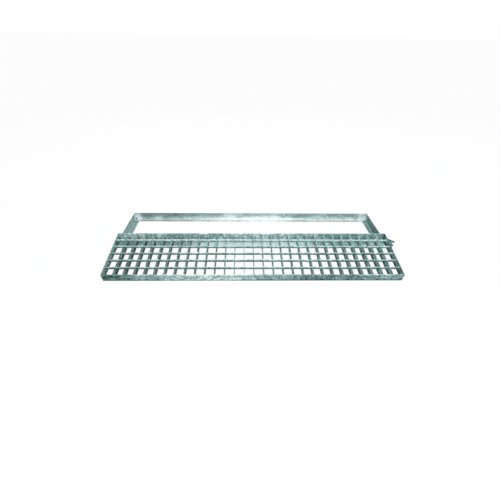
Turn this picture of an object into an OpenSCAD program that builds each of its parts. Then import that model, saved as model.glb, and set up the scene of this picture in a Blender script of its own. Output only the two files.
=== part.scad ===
// Drain channel grate with its angle-iron frame, press-locked and hot-dip galvanised steel.
// The grate leans on the frame: its front edge stands on the ground and its underside rests on the
// top edge of the frame's front rail. Millimetres, +Z up. Origin: middle of the back rail's underside.

/* [Grate] */
// Length of the grate along X, over both side borders
grate_l = 1000; // [400:5:1500]
// Depth of the grate, over the front and back borders
grate_d = 200; // [150:5:400]
// Height of the load bars and of the borders around them
bar_h = 30; // [20:1:50]
// Number of cells along the length
cells_x = 30; // [12:1:40]
// Length of each end cell, from the outer face of the side border to the middle of the first load bar
end_cell = 38; // [10:0.5:60]
// Number of cells across the depth
cells_y = 6; // [3:1:10]

/* [Bars] */
// Thickness of a load bar, which spans the channel
bar_t = 2; // [1.5:0.1:5]
// Height of a cross bar, pressed in flush with the top
cross_h = 10; // [6:0.5:15]
// Thickness of a cross bar
cross_t = 2; // [1.5:0.1:5]
// Side clearance of a cross bar in its slot
slot_gap = 0.05; // [0:0.01:0.3]
// Thickness of the front and back borders
border_t = 3; // [2:0.5:6]
// Thickness of the side borders
side_t = 2; // [1.5:0.5:6]
// Rounding of the long edges of the rolled border bars
border_r = 0.6; // [0.2:0.1:0.9]

/* [Frame] */
// Height of the angle's standing leg
leg_h = 30; // [24:1:60]
// Width of the angle's lying leg, on which a seated grate rests
leg_w = 20; // [15:1:40]
// Thickness of both legs
leg_t = 3; // [2.5:0.5:6]
// Fillet between the two legs
root_r = 3.5; // [2:0.5:4]
// Rounding of the inner edge of each toe
toe_r = 2; // [0.5:0.1:2]
// Clearance between a seated grate and the standing legs
seat_gap = 4; // [4:0.5:10]

/* [Wall anchor] */
// Length of the strip from the rail's outer face to the root of its split
anchor_l = 42; // [30:1:80]
// Height of the strip
anchor_h = 28; // [20:1:28]
// Thickness of the strip
anchor_t = 3; // [2:0.5:5]
// Length of the two prongs past the root of the split
prong_l = 13; // [8:1:25]
// Width of the split at its mouth
split_w = 8; // [4:0.5:10]
// Height of the split above the strip's lower edge
split_z = 19; // [10:1:20]
// Turn of each prong out of the strip, the upper to the back and the lower to the front
prong_a = 12; // [2:1:30]
// Turn of the strip from the rail's outer normal towards the front
anchor_a = 49; // [20:1:60]
// Distance of the strip's weld from the front face of the frame
anchor_y = 43; // [30:1:80]

/* [Pose] */
// How far the leaning grate reaches past the front rail's top edge, along its underside
overhang = 14.5; // [6:0.5:60]
// Clearance between the leaning grate and the front rail
rest_gap = 0.1; // [0:0.05:0.3]

/* [Hidden] */
$fn = 48;
// How far a cutting body stands past what it cuts
cut = 1;

zinc_pale = [0.62, 0.69, 0.70];
zinc_grey = [0.47, 0.55, 0.56];
zinc_dark = [0.33, 0.43, 0.44];

// Pitch of the cells both ways, from the middle of one bar to the middle of the next
pitch_x = (grate_l - 2 * end_cell) / (cells_x - 2);
pitch_y = (grate_d - border_t) / cells_y;
// Bars that end against the inner faces of the borders
inner_l = grate_l - 2 * side_t;
inner_d = grate_d - 2 * border_t;

// A seated grate is clear of the standing legs by the seat gap on all sides
frame_l = grate_l + 2 * (seat_gap + leg_t);
frame_d = grate_d + 2 * (seat_gap + leg_t);
back_y = leg_w / 2;
front_y = back_y - frame_d;

// The grate turns about its lower front edge until its underside meets the front rail's top edge
rest_d = grate_d - overhang;
tilt = asin((leg_h + rest_gap) / rest_d);
grate_y = front_y - rest_d * cos(tilt);

anchor_z = (leg_h - anchor_h) / 2;

LOADS = [for (i = [1:cells_x - 1]) str("load_bar_", i)];
CROSSES = [for (j = [1:cells_y - 1]) str("cross_bar_", j)];

// The four mitred rails of the frame

// Corner left over by a quarter round of radius r, with the round's centre at the origin
module corner_waste(r) {
    difference() {
        square(r + cut);
        circle(r);
    }
}

// Section of the rolled angle: standing leg along Y, lying leg along X, outer corner at the origin
module angle_section() {
    difference() {
        square([leg_w, leg_h]);
        translate([leg_t + root_r, leg_t]) square([leg_w, leg_h]);
        translate([leg_t, leg_t + root_r]) square([leg_w, leg_h]);
        translate([leg_t + root_r, leg_t + root_r]) circle(root_r);
        translate([leg_t - toe_r, leg_h - toe_r]) corner_waste(toe_r);
        translate([leg_w - toe_r, leg_t - toe_r]) corner_waste(toe_r);
    }
}

// Body that cuts a rail's +X end at 45 degrees, its corner on the rail's outer edge
module mitre_cut(length) {
    side = 2 * leg_w;
    translate([length / 2, 0, -cut]) rotate([0, 0, -135])
        translate([-cut, 0, 0]) cube([side, side, leg_h + 2 * cut]);
}

// Rail along X with its outer face on Y = 0 and its legs towards -Y
module rail(length) {
    color(zinc_grey) difference() {
        translate([-length / 2, 0, 0]) rotate([90, 0, 90])
            linear_extrude(length) mirror([1, 0]) angle_section();
        mitre_cut(length);
        mirror([1, 0, 0]) mitre_cut(length);
    }
}

module front_rail() {
    translate([0, front_y, 0]) rotate([0, 0, 180]) rail(frame_l);
}

module back_rail() {
    translate([0, back_y, 0]) rail(frame_l);
}

module left_rail() {
    translate([-frame_l / 2, (front_y + back_y) / 2, 0]) rotate([0, 0, 90]) rail(frame_d);
}

module right_rail() {
    translate([frame_l / 2, (front_y + back_y) / 2, 0]) rotate([0, 0, -90]) rail(frame_d);
}

// The split anchor strip that is welded to the right rail and grips the channel's mortar

// Plan outline of the strip along X, bevelled at the rail and bent by turn at the root of the split
module ribbon(turn) {
    half_t = anchor_t / 2;
    bevel = half_t * tan(anchor_a);
    knee = half_t * tan(turn / 2);
    tip = [anchor_l + prong_l * cos(turn), prong_l * sin(turn)];
    across = half_t * [-sin(turn), cos(turn)];
    polygon([
        [-bevel, half_t], [bevel, -half_t], [anchor_l + knee, -half_t],
        tip - across, tip + across, [anchor_l - knee, half_t]
    ]);
}

// Wedge that opens the split from its root to the prongs' tips, and a little past them
module split_wedge() {
    depth = prong_l + cut;
    half_w = split_w / 2 * depth / prong_l;
    side = prong_l + anchor_t;
    translate([anchor_l, side, split_z]) rotate([90, 0, 0])
        linear_extrude(2 * side) polygon([[0, 0], [depth, -half_w], [depth, half_w]]);
}

module wall_anchor() {
    color(zinc_grey) translate([frame_l / 2, front_y + anchor_y, anchor_z]) rotate([0, 0, -anchor_a])
        difference() {
            union() {
                linear_extrude(split_z) ribbon(-prong_a);
                translate([0, 0, split_z]) linear_extrude(anchor_h - split_z) ribbon(prong_a);
            }
            split_wedge();
        }
}

// The grate, drawn lying flat with its lower front edge on the X axis and then leaned on the frame

module leaned() {
    translate([0, grate_y, 0]) rotate([tilt, 0, 0]) children();
}

// Section of a border bar with its rolled long edges, its lower outer corner at the origin
module border_section(thick) {
    translate([border_r, 0]) square([thick - 2 * border_r, bar_h]);
    translate([0, border_r]) square([thick, bar_h - 2 * border_r]);
    for (x = [border_r, thick - border_r], y = [border_r, bar_h - border_r])
        translate([x, y]) circle(border_r);
}

// Border bar along X, standing on the X axis and reaching towards +Y
module long_border() {
    color(zinc_grey) translate([-grate_l / 2, 0, 0]) rotate([90, 0, 90])
        linear_extrude(grate_l) border_section(border_t);
}

module front_border() {
    leaned() long_border();
}

module back_border() {
    leaned() translate([0, grate_d - border_t, 0]) long_border();
}

// Border bar between the long borders, its outer face at x and its thickness towards +X
module side_border(x) {
    color(zinc_grey) translate([x, grate_d - border_t, 0]) rotate([90, 0, 0])
        linear_extrude(inner_d) border_section(side_t);
}

module left_border() {
    leaned() side_border(-grate_l / 2);
}

module right_border() {
    leaned() side_border(grate_l / 2 - side_t);
}

// Middle of load bar i along X and of cross bar j along Y, counted from the left and from the front
function load_x(i) = end_cell - grate_l / 2 + (i - 1) * pitch_x;
function cross_y(j) = border_t / 2 + j * pitch_y;

// Load bar i with the slots that take the cross bars
module load_bar(i) {
    slot_w = cross_t + 2 * slot_gap;
    color(zinc_dark) leaned() difference() {
        translate([load_x(i) - bar_t / 2, border_t, 0]) cube([bar_t, inner_d, bar_h]);
        for (j = [1:cells_y - 1])
            translate([load_x(i) - bar_t, cross_y(j) - slot_w / 2, bar_h - cross_h])
                cube([2 * bar_t, slot_w, cross_h + cut]);
    }
}

// Cross bar j, flush with the top of the load bars and on the floor of their slots
module cross_bar(j) {
    color(zinc_pale) leaned()
        translate([-inner_l / 2, cross_y(j) - cross_t / 2, bar_h - cross_h])
            cube([inner_l, cross_t, cross_h]);
}

front_rail();
back_rail();
left_rail();
right_rail();
wall_anchor();
front_border();
back_border();
left_border();
right_border();
for (j = [1:cells_y - 1])
    cross_bar(j);
for (i = [1:cells_x - 1])
    load_bar(i);
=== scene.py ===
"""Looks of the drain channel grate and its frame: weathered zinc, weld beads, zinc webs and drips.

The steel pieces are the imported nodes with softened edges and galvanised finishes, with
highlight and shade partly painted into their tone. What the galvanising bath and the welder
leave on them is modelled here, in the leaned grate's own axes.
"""
import logging
import math
import random
from collections.abc import Callable
from dataclasses import dataclass, field, replace
from enum import Enum

import bpy
from mathutils import Matrix, Vector


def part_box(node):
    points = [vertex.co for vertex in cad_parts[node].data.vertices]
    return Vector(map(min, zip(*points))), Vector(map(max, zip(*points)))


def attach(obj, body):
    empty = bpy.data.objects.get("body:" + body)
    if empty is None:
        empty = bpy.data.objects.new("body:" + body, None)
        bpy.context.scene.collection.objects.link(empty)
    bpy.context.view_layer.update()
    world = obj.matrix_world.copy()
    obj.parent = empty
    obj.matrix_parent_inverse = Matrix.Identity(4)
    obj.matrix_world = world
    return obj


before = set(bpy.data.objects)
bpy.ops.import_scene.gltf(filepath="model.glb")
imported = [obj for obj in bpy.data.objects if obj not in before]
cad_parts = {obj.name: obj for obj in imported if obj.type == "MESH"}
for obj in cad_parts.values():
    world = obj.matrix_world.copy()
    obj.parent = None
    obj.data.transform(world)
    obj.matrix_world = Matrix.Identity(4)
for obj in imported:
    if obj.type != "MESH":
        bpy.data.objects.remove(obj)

LOG = logging.getLogger("drain_grate")
MM = 0.001
ROOT = "root"


class Slot(Enum):
    """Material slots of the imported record."""

    FRAME = "galvanised_frame"
    BARS = "galvanised_bars"


class Amount:
    """A number that changes over a surface: wraps a node's output socket for shader maths."""

    def __init__(self, graph: "Graph", socket: bpy.types.NodeSocket) -> None:
        """Keep the graph and the socket.

        Args:
            graph: The graph that the socket belongs to.
            socket: The output socket that carries the number.
        """
        self.graph = graph
        self.socket = socket

    def _math(self, operation: str, *values: "Amount | float", clamp: bool = False) -> "Amount":
        """Add a Math node.

        Args:
            operation: The node's operation.
            *values: Its values or links.
            clamp: Whether the result is kept between 0 and 1.

        Returns:
            The node's result.
        """
        node = self.graph.add("ShaderNodeMath", {"operation": operation, "use_clamp": clamp}, dict(enumerate(values)))
        return Amount(self.graph, node.outputs[0])

    def __add__(self, other: "Amount | float") -> "Amount":
        """Sum."""
        return self._math("ADD", self, other)

    __radd__ = __add__

    def __sub__(self, other: "Amount | float") -> "Amount":
        """Difference."""
        return self._math("SUBTRACT", self, other)

    def __rsub__(self, other: float) -> "Amount":
        """Difference from a number."""
        return self._math("SUBTRACT", other, self)

    def __mul__(self, other: "Amount | float") -> "Amount":
        """Product."""
        return self._math("MULTIPLY", self, other)

    __rmul__ = __mul__

    def __abs__(self) -> "Amount":
        """Size without its sign."""
        return self._math("ABSOLUTE", self)

    def clamped(self) -> "Amount":
        """Limit to the range 0 to 1."""
        return self._math("ADD", self, 0.0, clamp=True)

    def ramp(self, low: float, high: float) -> "Amount":
        """Rise smoothly from 0 at low to 1 at high, or fall where low is above high.

        Args:
            low: Value at which the result is 0.
            high: Value at which the result is 1.

        Returns:
            The smooth step.
        """
        falls = low > high
        first, last = (high, low) if falls else (low, high)
        limits = {"From Min": first, "From Max": last, "To Min": float(falls), "To Max": float(not falls)}
        node = self.graph.add("ShaderNodeMapRange", {"interpolation_type": "SMOOTHSTEP"}, {"Value": self, **limits})
        return Amount(self.graph, node.outputs["Result"])


class Graph:
    """The node tree of a material or a world."""

    def __init__(self, tree: bpy.types.NodeTree) -> None:
        """Start with an empty tree.

        Args:
            tree: The tree that is filled.
        """
        self.tree = tree
        self.tree.nodes.clear()

    def add(self, kind: str, settings: dict | None = None, inputs: dict | None = None) -> bpy.types.Node:
        """Add a node.

        Args:
            kind: The node's type.
            settings: The node's own properties, which are set first.
            inputs: Values or links of its sockets, by name or number.

        Returns:
            The node.
        """
        node = self.tree.nodes.new(kind)
        for key, value in (settings or {}).items():
            setattr(node, key, value)
        for key, value in (inputs or {}).items():
            self.feed(node.inputs[key], value)
        return node

    def feed(self, socket: bpy.types.NodeSocket, value: object) -> None:
        """Link a socket to an amount or to another socket, or set its own value.

        Args:
            socket: The input socket.
            value: An Amount, an output socket, a number or a colour.
        """
        if isinstance(value, Amount):
            value = value.socket
        if isinstance(value, bpy.types.NodeSocket):
            self.tree.links.new(value, socket)
        else:
            socket.default_value = value

    def place(self, axes: Matrix | None = None) -> bpy.types.NodeSocket:
        """Return the object's coordinates in metres, in the given axes or in the part's own.

        Args:
            axes: Place and turn of the axes, without scale.

        Returns:
            The coordinates' socket.
        """
        own = self.add("ShaderNodeTexCoord").outputs["Object"]
        if axes is None:
            return own
        turned = {"Vector": own, "Location": axes.translation, "Rotation": axes.to_euler()}
        return self.add("ShaderNodeMapping", {"vector_type": "TEXTURE"}, turned).outputs[0]

    def shifted(
        self, vector: bpy.types.NodeSocket, shift: float, drawn: tuple = (1.0, 1.0, 1.0)
    ) -> bpy.types.NodeSocket:
        """Move coordinates away, so that two finishes never show the same patches.

        Args:
            vector: The coordinates.
            shift: How far they are moved.
            drawn: How many times the patches are drawn out along each axis.

        Returns:
            The moved coordinates' socket.
        """
        shrink = tuple(1 / times for times in drawn)
        values = {"Vector": vector, "Location": (shift, 2 * shift, -shift), "Scale": shrink}
        return self.add("ShaderNodeMapping", None, values).outputs[0]

    def along(self, vector: bpy.types.NodeSocket, axis: str) -> Amount:
        """Return one part of a vector, X, Y or Z."""
        return Amount(self, self.add("ShaderNodeSeparateXYZ", None, {0: vector}).outputs[axis])

    def noise(self, vector: bpy.types.NodeSocket, cell: float, detail: float, rough: float) -> Amount:
        """Return a noise of about the range 0 to 1.

        Args:
            vector: Where the noise is read.
            cell: Size of its patches, in metres.
            detail: Number of octaves.
            rough: How much each octave keeps.

        Returns:
            The noise.
        """
        values = {"Vector": vector, "Scale": 1 / cell, "Detail": detail, "Roughness": rough}
        return Amount(self, self.add("ShaderNodeTexNoise", None, values).outputs["Fac"])

    def cells(self, vector: bpy.types.NodeSocket, cell: float) -> Amount:
        """Return an even random value for each crystal of the given size."""
        node = self.add("ShaderNodeTexVoronoi", {"feature": "F1"}, {"Vector": vector, "Scale": 1 / cell})
        return self.along(node.outputs["Color"], "X")

    def blend(self, factor: Amount | float, low: object, high: object, mode: str = "MIX") -> bpy.types.NodeSocket:
        """Mix two colours.

        Args:
            factor: Share of the second colour.
            low: First colour, or its socket.
            high: Second colour, or its socket.
            mode: How the two are mixed.

        Returns:
            The mixed colour's socket.
        """
        node = self.add("ShaderNodeMix", {"data_type": "RGBA", "blend_type": mode}, {0: factor})
        for socket, colour in ((node.inputs[6], low), (node.inputs[7], high)):
            self.feed(socket, (*colour, 1.0) if isinstance(colour, tuple) else colour)
        return node.outputs[2]


def new_material(name: str) -> tuple[bpy.types.Material, Graph]:
    """Start a material with an empty node tree.

    Args:
        name: The material's name.

    Returns:
        The material and its graph.
    """
    material = bpy.data.materials.new(name)
    material.use_nodes = True
    return material, Graph(material.node_tree)


@dataclass(frozen=True)
class Band:
    """A stretch along one axis that is painted paler, or darker with a negative amount: for painted highlight and
    shade as well as the zinc's own tone.
    """

    axis: str
    middle: float
    reach: float
    amount: float
    soft: float = 0.6

    def shade(self, graph: Graph, place: bpy.types.NodeSocket) -> Amount:
        """Return the band's share of the tone.

        Args:
            graph: The graph of the finish.
            place: Coordinates that the band is read on.

        Returns:
            The amount in the band's middle, falling to 0 at its reach.
        """
        off = abs(graph.along(place, self.axis) - self.middle)
        return self.amount * off.ramp(self.reach, (1 - self.soft) * self.reach)


@dataclass(frozen=True)
class Rise:
    """A change of tone from none at one place along an axis to its whole amount at another."""

    axis: str
    start: float
    end: float
    amount: float

    def shade(self, graph: Graph, place: bpy.types.NodeSocket) -> Amount:
        """Return the rise's share of the tone.

        Args:
            graph: The graph of the finish.
            place: Coordinates that the rise is read on.

        Returns:
            Nothing before its start, the amount past its end.
        """
        return self.amount * graph.along(place, self.axis).ramp(self.start, self.end)


@dataclass(frozen=True)
class Zinc:
    """Weathered hot-dip galvanised steel: spangle and dull patches, with highlight and shade painted by bands and on
    up-facing faces, all on one scale of tone.
    """

    name: str
    seed: float
    tone: float = 0.45
    mottle: float = 0.60
    patch: float = 28 * MM
    drawn: tuple = (1.0, 1.0, 1.0)
    spangle: float = 6.5 * MM
    sparkle: float = 0.18
    blots: float = 0.0
    # Painted light on up-facing faces: paler, or darker with a negative amount.
    painted_top_light: float = 0.0
    bands: tuple = ()
    dark: tuple = (0.008, 0.038, 0.035)
    grey: tuple = (0.180, 0.290, 0.283)
    pale: tuple = (0.740, 0.805, 0.805)
    metallic: float = 0.35
    gloss: float = 0.22
    dull: float = 0.60
    bright: float = 0.42

    def make(self, axes: Matrix | None = None) -> bpy.types.Material:
        """Build the material.

        Args:
            axes: Axes that the bands are read in; the part's own if none.

        Returns:
            The material, named after the finish.
        """
        material, graph = new_material(self.name)
        spread = graph.shifted(graph.place(), self.seed)
        rolled = graph.shifted(graph.place(), -self.seed, self.drawn)
        clouds_and_highlight = graph.noise(spread, 4.5 * self.patch, 2.0, 0.5)
        patches = graph.noise(rolled, self.patch, 4.0, 0.65)
        crystals = graph.cells(spread, self.spangle)
        grain = graph.noise(spread, 1.4 * MM, 3.0, 0.6)

        tone = self.tone + 1.3 * self.mottle * (patches - 0.5) + 0.6 * self.mottle * (clouds_and_highlight - 0.5)
        tone = tone + self.sparkle * (crystals - 0.5) + 0.12 * (grain - 0.5)
        tone = tone - self.blots * graph.noise(rolled, 5 * MM, 2.0, 0.6).ramp(0.50, 0.66)
        # Painted light: up-facing faces are made paler, or darker with a negative amount.
        facing = graph.add("ShaderNodeTexCoord").outputs["Normal"]
        tone = tone + self.painted_top_light * graph.along(facing, "Z").ramp(0.70, 0.95)
        # The bands paint highlight and shade, and some of the zinc's own tone.
        place = graph.place(axes)
        for band in self.bands:
            tone = tone + band.shade(graph, place)
        tone = tone.clamped()

        base = graph.blend(tone.ramp(0.0, 0.5), self.dark, self.grey)
        base = graph.blend(tone.ramp(0.45, 1.0), base, self.pale)
        rough = self.dull - (self.dull - self.bright) * (0.6 * crystals + 0.4 * tone)
        height = 0.5 * patches + 0.3 * crystals + 0.3 * grain
        bump = graph.add("ShaderNodeBump", None, {"Strength": 0.4, "Distance": 0.5 * MM, "Height": height})
        finish = {"Base Color": base, "Roughness": rough, "Normal": bump.outputs[0]}
        plain = {"Metallic": self.metallic, "Specular IOR Level": self.gloss}
        shader = graph.add("ShaderNodeBsdfPrincipled", None, {**finish, **plain})
        graph.add("ShaderNodeOutputMaterial", None, {"Surface": shader.outputs[0]})
        return material


@dataclass(frozen=True)
class PhotoCamera:
    """The camera that took the photograph, in the part's frame."""

    place: tuple = (-0.0347, -1.1115, 0.6751)
    turn: float = 1.545
    pitch: float = 37.012
    roll: float = 0.969
    focal_px: float = 294.1
    image_px: float = 500.0
    sensor_mm: float = 36.0

    def make(self) -> bpy.types.Object:
        """Build the camera and make it the scene's.

        Returns:
            The camera object.
        """
        data = bpy.data.cameras.new("photo_camera")
        data.sensor_width = self.sensor_mm
        data.lens = self.focal_px * self.sensor_mm / self.image_px
        data.clip_start, data.clip_end = 0.05, 200.0
        camera = bpy.data.objects.new("photo_camera", data)
        bpy.context.scene.collection.objects.link(camera)
        turned = Matrix.Identity(4)
        for angle, axis in ((-self.turn, "Z"), (-self.pitch, "X"), (-self.roll, "Y"), (90.0, "X")):
            turned = turned @ Matrix.Rotation(math.radians(angle), 4, axis)
        camera.matrix_world = Matrix.Translation(self.place) @ turned
        bpy.context.scene.camera = camera
        return camera


@dataclass(frozen=True)
class Lamp:
    """A soft box that shines at a point."""

    name: str
    place: tuple
    aim: tuple
    width: float
    height: float
    watts: float

    def make(self) -> bpy.types.Object:
        """Build the lamp.

        Returns:
            The lamp object.
        """
        data = bpy.data.lights.new(self.name, "AREA")
        data.shape = "RECTANGLE"
        data.size, data.size_y = self.width, self.height
        data.energy = self.watts
        lamp = bpy.data.objects.new(self.name, data)
        bpy.context.scene.collection.objects.link(lamp)
        lamp.location = self.place
        lamp.rotation_mode = "QUATERNION"
        lamp.rotation_quaternion = (Vector(self.aim) - Vector(self.place)).to_track_quat("-Z", "Y")
        return lamp


@dataclass
class Studio:
    """White floor and surroundings with soft boxes at a plain level."""

    floor_half: float = 40.0
    floor_drop: float = 0.2 * MM
    floor_colour: tuple = (0.84, 0.90, 0.91)
    floor_glow: float = 0.96
    sky_light: float = 0.45
    lamps: tuple = (
        Lamp("front_box", (0.15, -1.35, 1.05), (0.0, -0.20, 0.0), 0.80, 0.55, 24.0),
        Lamp("back_box", (0.0, 1.30, 1.15), (0.0, -0.15, 0.0), 0.90, 0.50, 10.0),
        Lamp("side_box", (2.20, -0.45, 0.80), (0.0, -0.25, 0.0), 0.90, 0.50, 22.0),
    )

    def make(self) -> None:
        """Build the floor, the world and the lamps, and set plain colour management."""
        self._floor()
        self._world()
        for lamp in self.lamps:
            lamp.make()
        bpy.context.scene.view_settings.view_transform = "Standard"

    @staticmethod
    def _seen(graph: Graph) -> Amount:
        """Return 1 on rays that show the surroundings: from the camera, in gloss and through glass."""
        rays = graph.add("ShaderNodeLightPath").outputs
        names = ("Is Camera Ray", "Is Glossy Ray", "Is Transmission Ray")
        camera, glossy, through = (Amount(graph, rays[name]) for name in names)
        return (camera + glossy + through).clamped()

    def _floor(self) -> None:
        """Build the floor, which glows to what sees it and keeps the object's shadow."""
        bpy.ops.mesh.primitive_plane_add(size=2 * self.floor_half, location=(0, 0, -self.floor_drop))
        floor = bpy.context.object
        floor.name = "studio_floor"
        material, graph = new_material("studio_floor")
        paper = graph.add("ShaderNodeBsdfDiffuse", None, {"Color": (*self.floor_colour, 1.0)})
        glow = graph.add("ShaderNodeEmission", None, {"Color": (1, 1, 1, 1), "Strength": 1.0})
        share = self._seen(graph) * self.floor_glow
        mixed = graph.add("ShaderNodeMixShader", None, {0: share, 1: paper.outputs[0], 2: glow.outputs[0]})
        graph.add("ShaderNodeOutputMaterial", None, {"Surface": mixed.outputs[0]})
        floor.data.materials.append(material)

    def _world(self) -> None:
        """Light the scene evenly and show white behind the object."""
        world = bpy.data.worlds.new("studio_world")
        bpy.context.scene.world = world
        world.use_nodes = True
        graph = Graph(world.node_tree)
        strength = self.sky_light + (1.0 - self.sky_light) * self._seen(graph)
        sky = graph.add("ShaderNodeBackground", None, {"Color": (1, 1, 1, 1), "Strength": strength})
        graph.add("ShaderNodeOutputWorld", None, {"Surface": sky.outputs[0]})


def select_none() -> None:
    """Leave edit mode and select nothing."""
    if bpy.context.object and bpy.context.object.mode != "OBJECT":
        bpy.ops.object.mode_set(mode="OBJECT")
    bpy.ops.object.select_all(action="DESELECT")


def start_piece(name: str) -> bpy.types.Object:
    """Name the new primitive and apply its turn to its mesh.

    Args:
        name: The piece's name.

    Returns:
        The piece, its object at the origin.
    """
    piece = bpy.context.object
    piece.name = piece.data.name = name
    piece.data.transform(piece.matrix_basis)
    piece.matrix_basis = Matrix.Identity(4)
    return piece


def pick(piece: bpy.types.Object, test: Callable[[Vector], bool], mode: str = "VERT") -> None:
    """Enter edit mode with only those vertices selected that pass a test, and the faces between them.

    Args:
        piece: The active piece.
        test: Tells from a vertex's place whether it is selected.
        mode: Select mode that edit mode is left in.
    """
    if piece.mode != "EDIT":
        bpy.ops.object.mode_set(mode="EDIT")
    bpy.ops.mesh.select_mode(type="VERT")
    bpy.ops.mesh.select_all(action="DESELECT")
    bpy.ops.object.mode_set(mode="OBJECT")
    for vertex in piece.data.vertices:
        vertex.select = test(vertex.co)
    bpy.ops.object.mode_set(mode="EDIT")
    bpy.ops.mesh.select_mode(type=mode)


def scale_picked(across: Vector, middle: Vector) -> None:
    """Scale what is selected about a point."""
    bpy.ops.transform.resize(value=across, center_override=middle)


def smooth(piece: bpy.types.Object, levels: int = 1) -> None:
    """Leave edit mode and apply a subdivision surface to a piece."""
    select_none()
    bpy.context.view_layer.objects.active = piece
    piece.select_set(True)
    modifier = piece.modifiers.new("smooth", "SUBSURF")
    modifier.levels = modifier.render_levels = levels
    bpy.ops.object.modifier_apply(modifier=modifier.name)


def scatter(pattern: bpy.types.Object, name: str, places: list[Matrix]) -> bpy.types.Object:
    """Copy a pattern to many places and join the copies into one piece.

    Args:
        pattern: The modelled pattern, which stays as it is.
        name: Name of the new piece.
        places: Place, turn and size of each copy.

    Returns:
        The joined piece, its object at the origin.
    """
    select_none()
    for place in places:
        copy = pattern.copy()
        copy.data = pattern.data.copy()
        copy.data.transform(place)
        bpy.context.scene.collection.objects.link(copy)
        copy.select_set(True)
        bpy.context.view_layer.objects.active = copy
    bpy.ops.object.join()
    piece = bpy.context.object
    piece.name = piece.data.name = name
    return piece


def finish_piece(piece: bpy.types.Object, material: bpy.types.Material) -> None:
    """Give a new piece its finish and its body, and report it.

    Args:
        piece: The piece, in place.
        material: Its material.
    """
    piece.data.materials.clear()
    piece.data.materials.append(material)
    select_none()
    bpy.context.view_layer.objects.active = piece
    piece.select_set(True)
    bpy.ops.object.shade_smooth_by_angle(angle=math.radians(50))
    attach(piece, ROOT)
    LOG.info("made %s with %d faces", piece.name, len(piece.data.polygons))


def dress_node(name: str, material: bpy.types.Material, soft: float) -> None:
    """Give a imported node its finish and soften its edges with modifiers, its own mesh untouched.

    Args:
        name: The node's name.
        material: Its material.
        soft: Width of the softened edges, in metres.
    """
    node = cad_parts[name]
    node.data.materials.clear()
    node.data.materials.append(material)
    sharp = math.radians(40)
    flat = math.radians(1)
    for kind, settings in (
        ("WELD", {"merge_threshold": 0.01 * MM}),
        ("DECIMATE", {"decimate_type": "DISSOLVE", "angle_limit": flat}),
        ("BEVEL", {"width": soft, "segments": 2, "limit_method": "ANGLE", "angle_limit": sharp}),
    ):
        modifier = node.modifiers.new(kind.lower(), kind)
        for key, value in settings.items():
            setattr(modifier, key, value)
    LOG.info("dressed %s", name)


def laid(at: Vector, axis: str, degrees: float, size: tuple) -> Matrix:
    """Return the place of a copy: sized first, then turned about one axis, then moved."""
    return Matrix.Translation(at) @ Matrix.Rotation(math.radians(degrees), 4, axis) @ Matrix.Diagonal((*size, 1))


@dataclass
class WeldBead:
    """A rippled weld bead along X, from which every weld is copied."""

    length: float = 10 * MM
    radius: float = 1.6 * MM
    ripples: int = 8
    sides: int = 8
    trough: float = 0.80
    tip: float = 0.45

    def make(self) -> bpy.types.Object:
        """Model the bead from a cylinder whose rings swell and shrink.

        Returns:
            The bead, one length long and centred on the origin.
        """
        select_none()
        turn = (0, math.radians(90), 0)
        bpy.ops.mesh.primitive_cylinder_add(vertices=self.sides, radius=self.radius, depth=self.length, rotation=turn)
        bead = start_piece("weld_bead_pattern")
        cuts = 2 * self.ripples
        step = self.length / cuts
        bpy.ops.object.mode_set(mode="EDIT")
        for cut in range(1, cuts):
            bpy.ops.mesh.select_all(action="SELECT")
            bpy.ops.mesh.bisect(plane_co=(-self.length / 2 + cut * step, 0, 0), plane_no=(1, 0, 0))
        for cut in range(0, cuts + 1):
            x = -self.length / 2 + cut * step
            swell = self.tip if cut in (0, cuts) else (1.0 if cut % 2 else self.trough)
            pick(bead, lambda co: abs(co.x - x) < 0.01 * MM)
            scale_picked((1, swell, swell), (x, 0, 0))
        smooth(bead)
        return bead


@dataclass
class ZincDrip:
    """A drop of zinc that froze while it ran off a lower edge."""

    radius: float = 1.0 * MM
    fall: float = 1.6 * MM

    def make(self) -> bpy.types.Object:
        """Model the drop from a ball whose lower end is drawn out.

        Returns:
            The drop, its widest part at the origin.
        """
        select_none()
        bpy.ops.mesh.primitive_uv_sphere_add(segments=8, ring_count=6, radius=self.radius)
        drip = start_piece("zinc_drip_pattern")
        for depth, pull, narrow in ((0.2, 0.3, 0.9), (0.6, 0.5, 0.75)):
            pick(drip, lambda co: co.z < -depth * self.radius)
            bpy.ops.transform.translate(value=(0, 0, -pull * self.fall))
            scale_picked((narrow, narrow, 1), (0, 0, 0))
        smooth(drip)
        return drip


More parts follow.
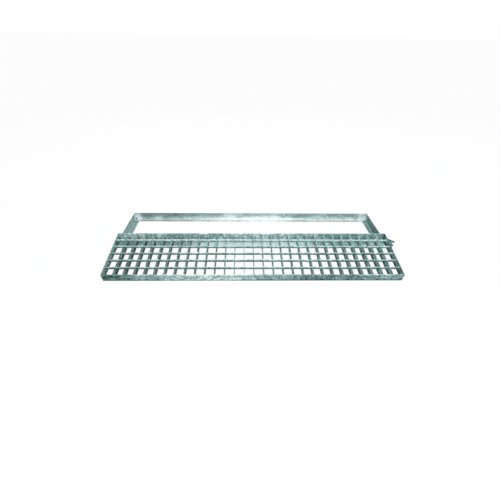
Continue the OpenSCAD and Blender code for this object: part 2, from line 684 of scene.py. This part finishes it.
@dataclass
class ZincWeb:
    """The four-cornered web of zinc that the bath leaves round a crossing of two bars."""

    reach: float = 6.0 * MM
    waist: float = 2.5 * MM
    depth: float = 7.0 * MM
    proud: float = 0.35 * MM
    rim: float = 0.5 * MM

    def make(self) -> bpy.types.Object:
        """Model the web from a disc whose diagonals are drawn in and whose underside tapers.

        Returns:
            The web, its flat top at the origin and facing up.
        """
        select_none()
        bpy.ops.mesh.primitive_circle_add(vertices=16, radius=self.reach, fill_type="NGON")
        web = start_piece("zinc_web_pattern")
        between = 0.5 * (1 + self.waist / self.reach) - 0.12
        for share, first, second in ((between, 22.5, 67.5), (self.waist / self.reach, 45.0, 45.0)):
            pick(web, lambda co: any(abs(self._quarter(co) - angle) < 1 for angle in (first, second)))
            scale_picked((share, share, 1), (0, 0, 0))
        bpy.ops.mesh.select_mode(type="FACE")
        bpy.ops.mesh.select_all(action="SELECT")
        bpy.ops.mesh.inset(thickness=self.rim)
        bpy.ops.transform.translate(value=(0, 0, self.proud))
        pick(web, lambda co: co.z < 0.5 * self.proud, "EDGE")
        for drop, narrow in ((0.45, 0.70), (0.55, 0.50)):
            bpy.ops.mesh.extrude_region_move(TRANSFORM_OT_translate={"value": (0, 0, -drop * self.depth)})
            scale_picked((narrow, narrow, 1), (0, 0, 0))
        bpy.ops.mesh.edge_face_add()
        bpy.ops.mesh.select_all(action="SELECT")
        bpy.ops.mesh.normals_make_consistent(inside=False)
        bpy.ops.object.mode_set(mode="OBJECT")
        return web

    @staticmethod
    def _quarter(co: Vector) -> float:
        """Return the angle of a point within its quarter turn, in degrees."""
        return math.degrees(math.atan2(co.y, co.x)) % 90


@dataclass
class BlowHole:
    """A small blown crater in a weld, a raised ring round a pit."""

    radius: float = 3.8 * MM
    ring: float = 0.9 * MM
    lip: float = 1.7 * MM
    pit: float = 0.3 * MM

    def make(self) -> bpy.types.Object:
        """Model the crater from a disc: outer foot, raised ring and sunk middle.

        Returns:
            The crater, its foot in the XY plane.
        """
        select_none()
        bpy.ops.mesh.primitive_circle_add(vertices=12, radius=self.radius, fill_type="NGON")
        hole = start_piece("weld_blow_hole")
        bpy.ops.object.mode_set(mode="EDIT")
        bpy.ops.mesh.select_mode(type="FACE")
        bpy.ops.mesh.select_all(action="SELECT")
        for lift in (self.lip, -0.3 * self.lip, -self.pit):
            bpy.ops.mesh.inset(thickness=self.ring)
            bpy.ops.transform.translate(value=(0, 0, lift))
        bpy.ops.mesh.select_all(action="SELECT")
        bpy.ops.mesh.normals_make_consistent(inside=False)
        smooth(hole)
        return hole


@dataclass
class Frame:
    """The mitred angle frame with its anchor: finishes, welds and marks of the bath."""

    edge_soft: float = 0.35 * MM
    leg_thick: float = 3.0 * MM
    zinc: Zinc = Zinc("zinc_frame", 1.3, tone=0.50, patch=42 * MM)

    def __post_init__(self) -> None:
        """Read the frame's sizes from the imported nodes."""
        self.low = Vector((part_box("left_rail")[0].x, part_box("front_rail")[0].y, 0))
        self.high = Vector((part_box("right_rail")[1].x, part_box("back_rail")[1].y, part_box("back_rail")[1].z))
        self.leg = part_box("back_rail")[1].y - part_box("back_rail")[0].y

    def _finishes(self) -> dict[str, Zinc]:
        """Return the finish of each rail: painted highlight in the middles, painted shade towards the ends, dark
        upper rims, pale corners.
        """
        rim = Band("Z", self.high.z, 1.2 * MM, -0.34, 0.3)
        corner = Band("X", self.low.x + 8 * MM, 26 * MM, 0.34), Band("X", self.high.x - 14 * MM, 30 * MM, 0.32)
        back_end = Band("Y", self.high.y, 26 * MM, 0.30)
        # Painted highlight in the middle of the back rail, fading to painted shade towards the ends, with smaller
        # paler and darker stretches.
        clouds_and_highlight = (
            Band("X", -0.02, 0.32, 0.19, 1.0),
            Band("X", -0.45, 0.05, -0.12, 1.0),
            Band("X", -0.34, 0.11, -0.12, 1.0),
            Band("X", 0.10, 0.08, 0.07, 1.0),
            Band("X", 0.20, 0.09, -0.08, 1.0),
        )
        root = Rise("Z", 22 * MM, 6 * MM, 0.24)
        toe = Band("Y", self.high.y - self.leg, 6 * MM, -0.23, 0.7)
        # Painted shade on the standing leg of the right rail, whose inner face looks away from the light.
        painted_shade_leg = Band("X", self.high.x, 6 * MM, -0.14, 0.4)
        return {
            "back_rail": replace(
                self.zinc,
                name="zinc_back_rail",
                tone=0.505,
                mottle=0.60,
                patch=10 * MM,
                drawn=(4.0, 1.0, 1.0),
                blots=0.10,
                # Painted light: the up-facing lying leg is made paler.
                painted_top_light=0.19,
                grey=(0.197, 0.288, 0.285),
                pale=(0.675, 0.738, 0.752),
                bands=(replace(rim, amount=-0.44), *clouds_and_highlight, *corner, root, toe),
            ),
            "front_rail": replace(
                self.zinc,
                name="zinc_front_rail",
                seed=2.9,
                tone=0.54,
                mottle=0.80,
                patch=12 * MM,
                grey=(0.160, 0.292, 0.284),
                pale=(0.650, 0.800, 0.790),
                # Painted highlight: the front rail's face is much paler in the middle.
                bands=(rim, Band("X", 0.0, 0.36, 0.52, 0.8), Band("X", 0.42, 0.10, 0.12)),
            ),
            "left_rail": replace(
                self.zinc, name="zinc_left_rail", seed=4.1, tone=0.50, patch=16 * MM, bands=(rim, back_end)
            ),
            "right_rail": replace(
                self.zinc,
                name="zinc_right_rail",
                seed=6.7,
                tone=0.44,
                patch=16 * MM,
                # The last band paints shade on the right rail's standing leg.
                bands=(rim, back_end, Band("Y", self.high.y, 80 * MM, 0.16, 1.0), painted_shade_leg),
            ),
            "wall_anchor": replace(
                self.zinc,
                name="zinc_anchor",
                seed=7.9,
                tone=0.54,
                # Painted shade: the anchor's up-facing faces and its upper prong are made darker.
                painted_top_light=-0.50,
                patch=14 * MM,
                bands=(Rise("Z", 21 * MM, 26 * MM, -0.38),),
            ),
        }

    def make(self, bead: bpy.types.Object) -> None:
        """Dress the rails and the anchor, weld them and add the marks on the back rail.

        Args:
            bead: The weld bead that is copied.
        """
        for name, finish in self._finishes().items():
            dress_node(name, finish.make(), self.edge_soft)
        weld = replace(self.zinc, name="zinc_frame_weld", seed=9.2, tone=0.66, patch=9 * MM).make()
        finish_piece(scatter(bead, "frame_corner_welds", self._corner_places(bead)), weld)
        finish_piece(scatter(bead, "anchor_welds", self._anchor_places(bead)), weld)
        self._marks()

    def _corner_places(self, bead: bpy.types.Object) -> list[Matrix]:
        """Lay beads in the standing corners and on the mitres of the lying legs.

        Args:
            bead: The weld bead that is copied.

        Returns:
            The place of each bead.
        """
        unit = bead.dimensions.x
        rise = self.high.z - self.leg_thick
        run = math.sqrt(2) * (self.leg - self.leg_thick)
        places = []
        for x, to_x in ((self.low.x, 1), (self.high.x, -1)):
            for y, to_y in ((self.low.y, 1), (self.high.y, -1)):
                inner = Vector((x + to_x * self.leg_thick, y + to_y * self.leg_thick, self.leg_thick))
                upright = inner + Vector((0, 0, rise / 2))
                places.append(laid(upright, "Y", 90, (0.92 * rise / unit, 1.5, 1.5)))
                slant = Vector((to_x, to_y, 0)).normalized()
                turn = math.degrees(math.atan2(slant.y, slant.x))
                places.append(laid(inner + slant * run / 2, "Z", turn, (0.9 * run / unit, 1.3, 0.5)))
        return places

    @staticmethod
    def _anchor_places(bead: bpy.types.Object) -> list[Matrix]:
        """Lay a bead on either side of the anchor strip, against the right rail.

        Args:
            bead: The weld bead that is copied.

        Returns:
            The place of each bead.
        """
        low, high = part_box("wall_anchor")
        rise = high.z - low.z
        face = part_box("right_rail")[1].x + 0.3 * MM
        sides = (high.y - 0.4 * MM, high.y - 4.8 * MM)
        size = (0.8 * rise / bead.dimensions.x, 1.0, 1.0)
        return [laid(Vector((face, y, (low.z + high.z) / 2)), "Y", 90, size) for y in sides]

    def _marks(self) -> None:
        """Add the blow hole in the back left corner and the frozen runs on the back rail's inner face."""
        hole = BlowHole().make()
        corner = Vector((self.low.x + 5 * MM, self.high.y - 6 * MM, self.leg_thick + 1 * MM))
        hole.data.transform(Matrix.Translation(corner))
        slag = replace(self.zinc, name="zinc_blow_hole", seed=3.3, tone=0.0, mottle=0.1, metallic=0.0, gloss=0.05)
        finish_piece(hole, slag.make())
        face = self.high.y - self.leg_thick
        runs = ((-0.415, 10, 152, 3.4, 2.3), (-0.118, 12, 170, 2.2, 1.2), (0.334, 13, 202, 2.4, 1.4))
        places = [
            laid(Vector((x, face, z * MM)), "Y", turn, (wide, 0.5, length)) for x, z, turn, length, wide in runs
        ]
        drip = ZincDrip().make()
        pale = replace(self.zinc, name="zinc_runs", seed=5.8, tone=0.90, mottle=0.3, patch=8 * MM)
        finish_piece(scatter(drip, "zinc_runs", places), pale.make())
        bpy.data.objects.remove(drip)


@dataclass
class Grate:
    """The leaned press-locked grate: its finishes, its zinc webs and drips and its welds."""

    edge_soft: float = 0.25 * MM
    zinc: Zinc = Zinc("zinc_grate", 11.0, patch=26 * MM, grey=(0.160, 0.292, 0.284), pale=(0.660, 0.800, 0.792))
    web: ZincWeb = field(default_factory=ZincWeb)
    drip: ZincDrip = field(default_factory=ZincDrip)

    def __post_init__(self) -> None:
        """Read the grate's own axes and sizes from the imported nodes."""
        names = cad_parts
        self.bar_count = sum(name.startswith("load_bar_") for name in names)
        self.cross_count = sum(name.startswith("cross_bar_") for name in names)
        first, last = (self._middle(f"cross_bar_{j}") for j in (1, self.cross_count))
        self.tilt = math.atan2(last.z - first.z, last.y - first.y)
        low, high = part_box("front_border")
        self.low_x, self.high_x = low.x, high.x
        reach, rise = high.y - low.y, high.z - low.z
        sine, cosine = math.sin(self.tilt), math.cos(self.tilt)
        # A leaned bar of height h and thickness t reaches t cos + h sin across and t sin + h cos up
        self.height = (rise * cosine - reach * sine) / (cosine**2 - sine**2)
        self.border = (reach - self.height * sine) / cosine
        self.axes = Matrix.Translation((0, low.y + self.height * sine, 0)) @ Matrix.Rotation(self.tilt, 4, "X")
        self.into = self.axes.inverted()
        self.depth = (self.into @ self._middle("back_border")).y + self.border / 2

    @staticmethod
    def _middle(name: str) -> Vector:
        """Return the middle of a node's box."""
        low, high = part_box(name)
        return (low + high) / 2

    def cross_y(self, j: int) -> float:
        """Return the middle of cross bar j across the grate, in the grate's axes."""
        return (self.into @ self._middle(f"cross_bar_{j}")).y

    def load_x(self, i: int) -> float:
        """Return the middle of load bar i along the grate."""
        return self._middle(f"load_bar_{i}").x

    def make(self, bead: bpy.types.Object) -> None:
        """Dress the bars and add what the zinc bath and the welder leave on them.

        Args:
            bead: The weld bead that is copied.
        """
        self._dress()
        self._webs()
        self._bar_welds(bead)
        self._drips()

    def _finishes(self) -> dict[str, Zinc]:
        """Return the finish of each kind of bar, with bands in the grate's own axes."""
        top = Band("Z", self.height, 1.6 * MM, 0.18, 0.3)
        foot = Band("Z", 0.0, 6 * MM, -0.36, 0.6)
        # Painted shade: the bars are darker low down, where their neighbours shade them, and paler above; they are
        # also paler towards the back, where the grate lies on the frame
        painted_shade_low = Rise("Z", 9 * MM, 17 * MM, 0.46)
        leaning = Rise("Y", 0.62 * self.depth, 0.72 * self.depth, 0.26)
        # The side borders get the same painted shade: darker low down, paler above.
        edge = replace(
            self.zinc, tone=0.14, mottle=0.60, patch=16 * MM, bands=(Rise("Z", 6 * MM, 18 * MM, 0.32),)
        )
        # Painted light by side: the load bars are darker left of the middle and paler right of it, and their tops are
        # made darker.
        painted_shade_left, painted_light_right = Rise("X", 0.0, -0.16, -0.14), Rise("X", 0.03, 0.16, 0.07)
        side = replace(
            self.zinc,
            tone=0.0,
            mottle=0.45,
            patch=14 * MM,
            painted_top_light=-0.16,
            bands=(painted_shade_low, leaning, painted_shade_left, painted_light_right),
        )
        return {
            "front_border": replace(
                self.zinc,
                name="zinc_front_border",
                tone=0.50,
                mottle=0.80,
                patch=8 * MM,
                drawn=(1.6, 1.0, 1.0),
                blots=0.30,
                grey=Zinc.grey,
                pale=Zinc.pale,
                bands=(
                    top,
                    foot,
                    # Along X, a painted highlight left of the middle and painted shade towards the ends, with smaller
                    # paler and darker stretches.
                    Band("X", self.low_x, 0.13, -0.30, 0.7),
                    Band("X", -0.15, 0.19, 0.18, 0.7),
                    Band("X", 0.10, 0.10, -0.10, 0.8),
                    Rise("X", 0.08, 0.20, -0.16),
                    Band("X", 0.33, 0.05, -0.09, 0.8),
                    Band("X", 0.41, 0.05, 0.13, 0.6),
                ),
            ),
            "back_border": replace(
                self.zinc,
                name="zinc_back_border",
                seed=12.4,
                tone=0.61,
                mottle=0.90,
                patch=11 * MM,
                bands=(
                    # Along X, a painted highlight in the middle, paler at the left end and painted shade to the
                    # right.
                    Band("X", 0.0, 0.32, 0.10, 1.0),
                    Band("X", self.low_x, 0.3, 0.09, 1.0),
                    Rise("X", 0.12, 0.35, -0.09),
                ),
            ),
            "left_border": replace(edge, name="zinc_left_border", seed=13.8),
            "right_border": replace(edge, name="zinc_right_border", seed=15.1, tone=0.04),
            "load_bar_": replace(
                side,
                name="zinc_load_bars",
                seed=17.7,
            ),
            "cross_bar_": replace(
                self.zinc,
                name="zinc_cross_bars",
                seed=19.3,
                tone=0.36,
                mottle=0.80,
                patch=13 * MM,
                # Painted light: up-facing faces slightly darker, a highlight on the tops and shade on the faces below
                # them, inside the cells.
                painted_top_light=-0.04,
                bands=(
                    Band("Z", self.height, 4.6 * MM, 0.34, 0.4),
                    Band("Z", self.height - 10 * MM, 5.0 * MM, -0.16, 0.6),
                    leaning,
                ),
            ),
        }

    def _dress(self) -> None:
        """Finish the borders, the load bars and the cross bars."""
        for key, finish in self._finishes().items():
            material = finish.make(self.axes)
            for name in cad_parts:
                if name == key or (key.endswith("_") and name.startswith(key)):
                    dress_node(name, material, self.edge_soft)

    def _webs(self) -> None:
        """Copy the zinc web to every crossing, one piece for each cross bar, sizes varied a little."""
        pattern = self.web.make()
        # Painted light: the webs' up-facing faces are made paler.
        finish = replace(self.zinc, name="zinc_webs", seed=21.5, tone=0.54, mottle=0.5, patch=16 * MM, painted_top_light=0.1)
        material = finish.make(self.axes)
        chance = random.Random(31)
        for j in range(1, self.cross_count + 1):
            places = []
            for i in range(1, self.bar_count + 1):
                size = chance.uniform(0.75, 1.2)
                at = Vector((self.load_x(i), self.cross_y(j), self.height))
                places.append(self.axes @ laid(at, "Z", 0, (size, size, 1)))
            finish_piece(scatter(pattern, f"crossing_zinc_{j}", places), material)
        bpy.data.objects.remove(pattern)

    def _bar_welds(self, bead: bpy.types.Object) -> None:
        """Lay a short standing bead where each load bar meets the borders.

        Args:
            bead: The weld bead that is copied.
        """
        material = replace(self.zinc, name="zinc_bar_welds", seed=23.9, tone=0.48, patch=10 * MM).make(self.axes)
        chance = random.Random(47)
        for name, y in (("front_bar_welds", self.border), ("back_bar_welds", self.depth - self.border)):
            places = []
            for i in range(1, self.bar_count + 1):
                rise = chance.uniform(0.40, 0.55) * self.height
                side = MM if i % 2 else -MM
                at = Vector((self.load_x(i) + side, y, 0.12 * self.height + rise / 2))
                places.append(self.axes @ laid(at, "Y", 90, (rise / bead.dimensions.x, 0.8, 0.8)))
            finish_piece(scatter(bead, name, places), material)

    def _drips(self) -> None:
        """Hang frozen drops under the load bars' back halves and the back border."""
        pattern = self.drip.make()
        material = replace(self.zinc, name="zinc_drips", seed=26.3, tone=0.58, patch=8 * MM).make(self.axes)
        chance = random.Random(59)
        places = []
        for i in range(1, self.bar_count + 1):
            for _ in range(chance.randint(1, 3)):
                y = chance.uniform(0.35, 0.88) * self.depth
                size = chance.uniform(0.7, 1.3)
                places.append(self.axes @ laid(Vector((self.load_x(i), y, 0)), "Z", 0, (size, size, size)))
        for _ in range(26):
            x = chance.uniform(self.low_x, self.high_x) * 0.98
            size = chance.uniform(0.7, 1.5)
            at = Vector((x, self.depth - self.border / 2, 0))
            places.append(self.axes @ laid(at, "Z", 0, (size, size, size)))
        finish_piece(scatter(pattern, "zinc_drips", places), material)
        bpy.data.objects.remove(pattern)


def main() -> None:
    """Build the camera, the studio, the frame and the grate in that order."""
    logging.basicConfig(level=logging.INFO, format="%(message)s")
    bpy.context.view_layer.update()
    PhotoCamera().make()
    Studio().make()
    bead = WeldBead().make()
    Frame().make(bead)
    Grate().make(bead)
    bpy.data.objects.remove(bead)
    select_none()


if __name__ == "__main__":
    main()
